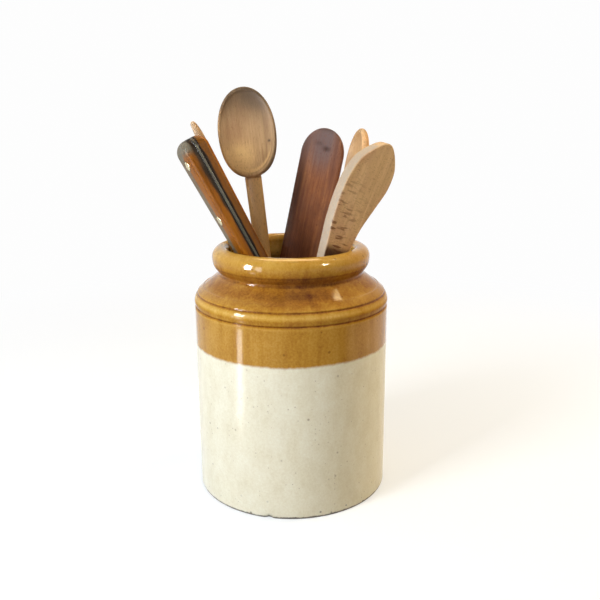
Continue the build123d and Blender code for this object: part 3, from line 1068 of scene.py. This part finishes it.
def level_edges(heights, half_width):
    """Pairs of edge points (x, z) at both sides of a board, one pair for each height."""
    return [((-half_width(z), z), (half_width(z), z)) for z in heights]


def board(name, slot, size, edges, material, **rules):
    """A flat, slightly uneven board through pairs of edge points, with rounded edges."""
    half_thickness = size.thickness / 2
    length = max(left[1] for left, right in edges)
    rings = []
    for left, right in edges:
        height = (left[1] + right[1]) / 2
        half = half_thickness - round_loss(size.ease, min(height, length - height))
        ring = []
        for x, y, z in board_section(left, right, half, size.ease):
            uneven = 0.00016 * noise.noise(Vector((x * 90, z * 22, y * 40)))
            ring.append((x, y * (1 + uneven / half_thickness), z))
        rings.append(ring)
    place = utensil_place(name, 0.0, 0.5)
    build(name + "_carved", skin(rings), place, material, name, slot, name, **rules)


def dark_half_width(height):
    """Half the width of the dark spatula: handle, taper, blade and round ends."""
    wide = between(height, dark.blade_low - dark.taper_length, dark.blade_low)
    half = dark.half_handle + (dark.half_blade - dark.half_handle) * wide
    if height > dark.tip_low:
        half *= sqrt(max(0.0, 1 - ((height - dark.tip_low) / dark.tip_length) ** 2))
    return half - round_loss(dark.end_round, height)


def dark_spatula(material):
    """A long blade with an oval end, which narrows gently to its handle."""
    heights = eased_steps(dark.end_round, 10) + even_steps(dark.end_round, dark.tip_low, 110)
    heights += [dark.tip_low + dark.tip_length * sin(a) for a in even_steps(0, pi / 2, 40)]

    def up_blade(point):
        return (point.z - dark.blade_low) / dark.blade_length

    def knot(point, x, from_tip, flatten, size):
        off = hypot(point.x - x, (point.z - dark.length + from_tip) * flatten)
        return hump(off, 0.0, size)

    def stain_at(point):
        knots = 0.75 * knot(point, 0.003, 0.016, 1.4, 0.0036)
        knots += 0.45 * knot(point, -0.004, 0.0125, 1.6, 0.0042)
        edge = 0.5 * between(-point.x, 0.009, 0.015)
        left = 0.40 * hump(point.x, -0.0110, 0.0055) * hump(up_blade(point), 0.58, 0.22)
        return knots + edge + left + 0.4 * hump(up_blade(point), 0.99, 0.02)

    def wear_at(point):
        top = 0.85 * between(up_blade(point), 0.55, 0.90)
        top *= 0.7 + 0.3 * hump(point.x, 0.004, 0.010)
        return top * (1 - 0.60 * between(point.x, 0.004, 0.012))

    board("dark_spatula", "dark_wood", dark, level_edges(heights, dark_half_width), material,
          stain=stain_at, wear=wear_at)


def through(points, per_span):
    """A smooth line through points, which starts and ends with the first and last but one."""
    line = []
    for before, start, end, after in zip(points, points[1:], points[2:], points[3:]):
        for i in range(per_span):
            t = i / per_span
            line.append(tuple(0.5 * (2 * start[k] + (end[k] - before[k]) * t
                                     + (2 * before[k] - 5 * start[k] + 4 * end[k] - after[k]) * t * t
                                     + (3 * start[k] - before[k] - 3 * end[k] + after[k]) * t ** 3)
                              for k in (0, 1)))
    line.append(points[-2])
    return line


def beech_edges():
    """Pairs of edge points up the beech spatula: its handle, then its leaning head."""
    heights = [beech.head_low + beech.head_length * share for share in beech.height_shares]
    left, right = ([(beech.head_width * share, height) for share, height in zip(shares, heights)]
                   for shares in (beech.left_shares, beech.right_shares))
    tip = (beech.head_width * beech.tip_share, beech.length)
    below = beech.head_low - beech.head_length * beech.height_shares[0] / 2
    lines = []
    for x, points, past in ((-beech.half_handle, left, right[-1]), (beech.half_handle, right, left[-1])):
        lines.append(through([(x, below), (x, beech.head_low), *points, tip, past], 14))
    handle = eased_steps(beech.end_round, 8) + even_steps(beech.end_round, beech.head_low, 60)[:-1]
    edges = level_edges(handle, lambda z: beech.half_handle - round_loss(beech.end_round, z))
    return edges + list(zip(*lines))


def beech_spatula(material):
    """A thick board whose leaf-shaped head leans to one side."""
    half_thickness = beech.thickness / 2

    def stain_at(point):
        up = (point.z - beech.head_low) / beech.head_length
        face = between(abs(point.y), half_thickness - 0.0012, half_thickness)
        # Darker just above the crock's rim: partly stains, partly a painted shadow of the rim
        return (0.15 + 0.75 * face) * between(0.36 - up, 0.0, 0.08)

    def wear_at(point):
        edge = between(half_thickness - abs(point.y), 0.0, 0.0012)
        return 0.9 * edge * between(-point.x, 0.0, 0.004)

    def fleck_at(point):
        below_tip = 0.94 * beech.length - point.z - point.x * 1.2
        return between(below_tip, 0.0, 0.3 * beech.length)

    board("beech_spatula", "beech_wood", beech, beech_edges(), material,
          stain=stain_at, wear=wear_at, fleck=fleck_at)


def handle_share(height):
    """How far along the knife's handle a height is: 0 at its front and 1 at its butt."""
    return (height - knife_blade_length) / knife_handle_length


def grip_half_width(height):
    """Half the width of the knife's handle at a height above its blade's tip."""
    wide = knife_front_width + (knife_butt_width - knife_front_width) * handle_share(height)
    loss = round_loss(knife_front_round, height - knife_blade_length)
    return wide / 2 - loss - round_loss(knife_butt_round, knife_top - height)


def scale_face(height):
    """How far the outer face of a scale is from the middle of the tang."""
    thick = knife_butt_thickness - knife_front_thickness
    return knife_plate_thickness / 2 + knife_front_thickness + thick * handle_share(height)


def grip_heights(count=90):
    """Heights along the handle, closer together at its two ends."""
    shares = [0.5 - 0.5 * cos(pi * i / count) for i in range(count + 1)]
    return [knife_blade_length + knife_handle_length * share for share in shares]


def rivet_heights():
    """Where the rivets cross the knife's handle, from the butt down."""
    return [knife_top - knife_rivet_from_butt - i * knife_rivet_pitch
            for i in range(knife_rivet_count)]


def scale_section(height, wear):
    """A level section of a scale: flat on the tang, worn at its seams and rounded outside."""
    inner, half, face = knife_plate_thickness / 2, grip_half_width(height), scale_face(height)
    ends = min(height - knife_blade_length, knife_top - height)
    dip = max(0.0, 1 - (knife_top - height) / knife_dome_length)
    outer = min(face - round_loss(knife_scale_round, ends),
                face - knife_dome_drop * (1 - sqrt(1 - dip ** 2)))
    ease = min(knife_scale_round + 0.002 * dip, outer - inner, half)
    side_low, side_top = inner + wear, max(outer - ease, inner + wear * 1.01)
    flat = [(half - wear, inner), (half - wear * 0.3, inner + wear * 0.3), (half, side_low)]
    flat += [(half, side_low + (side_top - side_low) * i / 7) for i in range(1, 7)]
    flat += [(half - ease + ease * cos(a), outer - ease + ease * sin(a))
             for a in [0, *even_steps(0, pi / 2, 10)]]
    flat += [((half - ease) * (1 - i / 8), outer) for i in range(1, 8)]
    mirrored = [(-x, y) for x, y in reversed(flat)]
    return flat + [(0, outer)] + mirrored + [(-(half - wear) * (1 - i / 4), inner)
                                             for i in range(1, 8)]


def scale_rings(side):
    """Rings of one scale, with small dents in its wood."""
    rings = []
    for height in grip_heights():
        wear = seam_wear * (1 + 0.8 * noise.noise(Vector((side * 3, height * 60, 0))))
        half = grip_half_width(height)
        ring = []
        for x, y in scale_section(height, wear):
            dent = 0.00018 * noise.noise(Vector((x * 70, y * 70 + side * 9, height * 45)))
            ring.append((x * (1 - abs(dent) / half), side * (y - max(0.0, dent)), height))
        rings.append(ring if side > 0 else ring[::-1])
    return rings


def knife_scale(side, name, place, material):
    """One wooden scale. Its side is 1 for the one nearer the camera, and -1 for the other."""
    near = side > 0

    def stain_at(point):
        depth = abs(point.y) - knife_plate_thickness / 2
        on_edge = between(abs(point.x) - grip_half_width(point.z) + 0.004, 0.0, 0.002)
        wide = 0.0017 + 0.0017 * noise.noise(Vector((side * 5, point.z * 90, 1)))
        wide += (0.0032 if near else 0.0008) * hump(point.z, knife_top - 0.026, 0.017)
        seam = on_edge * max(0.0, 1 - depth / (2 * max(wide, 0.0008)))
        # The far scale's edge face is darker all over, beyond its seam
        if not near:
            seam = max(seam, 0.46 * on_edge * between(0.0078 - depth, 0.0, 0.002))
        butt = 0.42 * between(point.z, knife_top - 0.006, knife_top - 0.001) if near else 0.0
        around = sum(hump(hypot(point.x, point.z - z), 0.0037, 0.0009)
                     for z in rivet_heights())
        low = 0.37 * between(knife_top - 0.088 - point.z, 0.0, 0.030)
        around *= 0.9 * between(depth, 0.004, 0.006)
        return min(1.0, max(seam, low) + butt + around)

    def wear_at(point):
        # The outer face and the butt are painted grey
        outer_face = between(abs(point.y), 0.0046, 0.0076)
        if not near:
            return min(1.0, 0.8 * outer_face * 0.4 * between(point.x, 0.0, 0.010))
        grey_butt = between(point.z, knife_top - 0.015, knife_top - 0.005)
        grey_butt *= 0.95 * between(abs(point.y), 0.002, 0.0045)
        return min(1.0, 0.8 * outer_face * between(point.x, -0.0040, 0.0040) + grey_butt)

    build(name + "_worn", skin(scale_rings(side)), place, material, "knife", "knife_handle_wood",
          name, stain=stain_at, wear=wear_at)


def steel_ring(back, edge, height, ground):
    """A level section of the steel. Where it is ground, it thins towards its edge."""
    half_plate, half_edge = knife_plate_thickness / 2, knife_edge_thickness / 2
    span = max(back - edge, 1e-5)
    section = [(back, half_plate * 0.25), (back, half_plate * 0.6)]
    for i in range(13):
        x = back - span * i / 12
        share = min(1.0, (x - edge) / knife_bevel_width) if ground else 1.0
        half = half_edge + (half_plate - half_edge) * share
        section.append((x - 0.0003 if i == 0 else x, half))
    last = (half_edge / 1.5, half_edge / 2) if ground else (half_plate * 0.6, half_plate * 0.25)
    section += [(edge, half) for half in last]
    return [(x, y, height) for x, y in section] + [(x, -y, height) for x, y in reversed(section)]


def steel_rings():
    """Rings of the steel: the blade from its curved tip up, then the tang below the wood."""
    half_blade = knife_blade_width / 2
    tip_side = half_blade - knife_tip_width
    rings = []
    for share in even_steps(0, 1, 60):
        height = knife_tip_length * share ** 2
        reach = sqrt(max(0.0, 1 - (1 - height / knife_tip_length) ** 2))
        rings.append(steel_ring(half_blade, tip_side - (tip_side + half_blade) * reach, height, True))
    for height in even_steps(knife_tip_length, knife_blade_length, 40):
        rings.append(steel_ring(half_blade, -half_blade, height, True))
    for height in grip_heights():
        if height > knife_heel:
            half = grip_half_width(height) - tang_recess
            rings.append(steel_ring(half, -half, height, False))
    return rings


def knife_steel(place, material):
    """Full tang and blade in one, with the tang's edges aged dark."""
    half_plate = knife_plate_thickness / 2

    def stain_at(point):
        uneven = 0.5 * noise.noise(Vector((0, point.z * 160, 4)))
        on_tang = between(point.z, knife_heel, knife_heel + 0.002)
        return between(abs(point.y) / half_plate + uneven, 0.0, 0.45) * on_tang

    build("knife_blade_ground", skin(steel_rings()), place, material, "knife", "carbon_steel",
          "knife_blade", stain=stain_at)


def rivet_rings(height):
    """Rings of one rivet through the handle, from its one domed head to its other."""
    face = scale_face(height)
    line = [(share * knife_rivet_radius, face + rivet_dome * (1 - share ** 4))
            for share in even_steps(0, 1, 8)]
    line += [(radius, -y) for radius, y in reversed(line)]
    return [[(radius * cos(a), y, height + radius * sin(a)) for a in full_turn(40)]
            for radius, y in line]


def knife_rivets(place, material):
    """Three brass rivets, each a bar with slightly domed heads."""
    surface = joined([skin(rivet_rings(height)) for height in rivet_heights()])
    build("knife_rivet_heads", surface, place, material, "knife", "rivet_brass", "knife_rivets")


def knife(wood_material, steel_material, brass_material):
    """The knife: two scales, the steel between them, and the rivets through all three."""
    place = utensil_place("knife_blade", 0.57, 1.0)
    knife_scale(1, "knife_scale_left", place, wood_material)
    knife_scale(-1, "knife_scale_right", place, wood_material)
    knife_steel(place, steel_material)
    knife_rivets(place, brass_material)


def floor():
    """A pale floor that keeps the shadow and fades to white. Diffuse rays see it darker."""
    g = Graph(bpy.data.materials.new("pale_floor"))
    spot = g.add("TexCoord", {}).outputs["Object"]
    flat = g.add("VectorMath", {0: spot, 1: (1, 1, 0)}, operation="MULTIPLY").outputs["Vector"]
    away = g.add("VectorMath", {0: flat}, operation="LENGTH").outputs["Value"]
    fade = g.step(away, floor_fade_start, floor_fade_end, floor_lift)
    rays = g.add("LightPath", {}).outputs
    mirrors = g.math(rays["Is Glossy Ray"], rays["Is Transmission Ray"], "MAXIMUM")
    fade = g.product(fade, g.math(mirrors, rays["Is Camera Ray"], "MAXIMUM"))
    plain = g.shader("BsdfDiffuse", {"Color": g.mix(rays["Is Diffuse Ray"], floor_colour,
                                                    floor_bounce)})
    glow = g.shader("Emission", {"Color": white})
    g.add("OutputMaterial", {"Surface": g.surface(fade, plain, glow)})
    bpy.ops.mesh.primitive_plane_add(size=floor_size)
    made = bpy.context.object
    made.name = "floor"
    made.data.materials.append(g.owner)


def room():
    """A pale room, warmer on the right. Gloss shows its walls, and the camera sees it white."""
    world = bpy.data.worlds.new("room")
    bpy.context.scene.world = world
    g = Graph(world)
    sides = g.add("SeparateXYZ", {"Vector": g.add("TexCoord", {}).outputs["Generated"]}).outputs
    light = g.ramp(g.step(sides["X"], -0.7, 0.9), room_colours)
    far_wall = g.mix(g.step(sides["X"], 0.0, 0.8), white, right_wall)
    walls = g.mix(g.step(sides["Y"], -0.35, 0.35), near_wall, far_wall)
    ambient = g.shader("Background", {"Color": light, "Strength": room_strength})
    mirrored = g.shader("Background", {"Color": walls, "Strength": 1.0})
    seen = g.shader("Background", {"Color": white, "Strength": 1.0})
    rays = g.add("LightPath", {}).outputs
    shiny = g.math(rays["Is Glossy Ray"], rays["Is Transmission Ray"], "MAXIMUM")
    lit = g.surface(shiny, ambient, mirrored)
    g.add("OutputWorld", {"Surface": g.surface(rays["Is Camera Ray"], lit, seen)})


def lamp(name, azimuth, elevation, distance, size, power, tint, mirrored=True, spread=True, spin=0):
    """A flat lamp that faces the crock's middle. Azimuth 0 is the front, and 90 the left.

    It can be left out of reflections, or of the spread light."""
    a, e = radians(azimuth), radians(elevation)
    away = Vector((-sin(a) * cos(e), -cos(a) * cos(e), sin(e)))
    data = bpy.data.lights.new(name, "AREA")
    data.shape = "RECTANGLE"
    data.size, data.size_y = size
    data.energy = power
    data.color = tint
    made = bpy.data.objects.new(name, data)
    made.location = Vector(lamp_target) + away * distance
    made.rotation_mode = "QUATERNION"
    turn = Quaternion((0, 0, 1), radians(spin))
    made.rotation_quaternion = away.to_track_quat("Z", "Y") @ turn
    made.visible_camera = False
    made.visible_glossy = mirrored
    made.visible_diffuse = spread
    bpy.context.scene.collection.objects.link(made)


def lamps():
    """Soft light from the left and the right, and lamps that only show as highlights."""
    lamp("key", 52, 28, 1.3, (0.45, 0.45), 15.2, (0.93, 1.02, 1.12), mirrored=False)
    lamp("right_fill", -108, 34, 1.3, (0.50, 0.50), 9.8, (1.0, 0.80, 0.43), mirrored=False)
    lamp("window", 60.5, 9, 0.6, (0.110, 0.36), 17.0, (0.97, 0.98, 1.0), spread=False)
    lamp("second_pane", 44, 4, 0.6, (0.10, 0.34), 1.3, (1.0, 0.98, 0.95), spread=False)
    lamp("left_streak", 53, -20, 0.25, (0.026, 0.09), 0.125, (1.0, 0.98, 0.94), spread=False)
    lamp("crest_strip", -176, 66, 1.0, (0.6, 0.40), 9.5, (1.0, 0.68, 0.36), spread=False)
    lamp("warm_lamp", -54, 36, 1.6, (0.22, 0.10), 43.0, (1.0, 0.88, 0.66), spread=False)
    lamp("warm_glow", -110, 57.6, 1.3, (0.15, 0.06), 0.6, (1.0, 0.80, 0.42), spread=False, spin=-63)


def camera():
    """The photograph's viewing angle."""
    data = bpy.data.cameras.new("camera")
    data.sensor_width = 36.0
    data.lens = camera_lens
    data.clip_start = 0.01
    made = bpy.data.objects.new("camera", data)
    right, up = Vector(camera_right), Vector(camera_up)
    turned = Matrix((right, up, right.cross(up))).transposed()
    made.matrix_world = Matrix.Translation(Vector(camera_eye)) @ turned.to_4x4()
    bpy.context.scene.collection.objects.link(made)
    bpy.context.scene.camera = made


def main():
    """The camera, the light, and then every piece."""
    camera()
    floor()
    room()
    lamps()
    crock(glazed_stoneware())
    brown_spoon(wood("brown_spoon_wood"))
    slim_spoon(wood("slim_spoon_wood"))
    small_spoon(wood("small_spoon_wood"))
    dark_spatula(wood("dark_spatula_wood"))
    beech_spatula(wood("beech_spatula_wood"))
    knife(wood("knife_handle_wood"), aged_steel(), worn_brass())


main()
bpy.context.scene.view_settings.view_transform = "Standard"
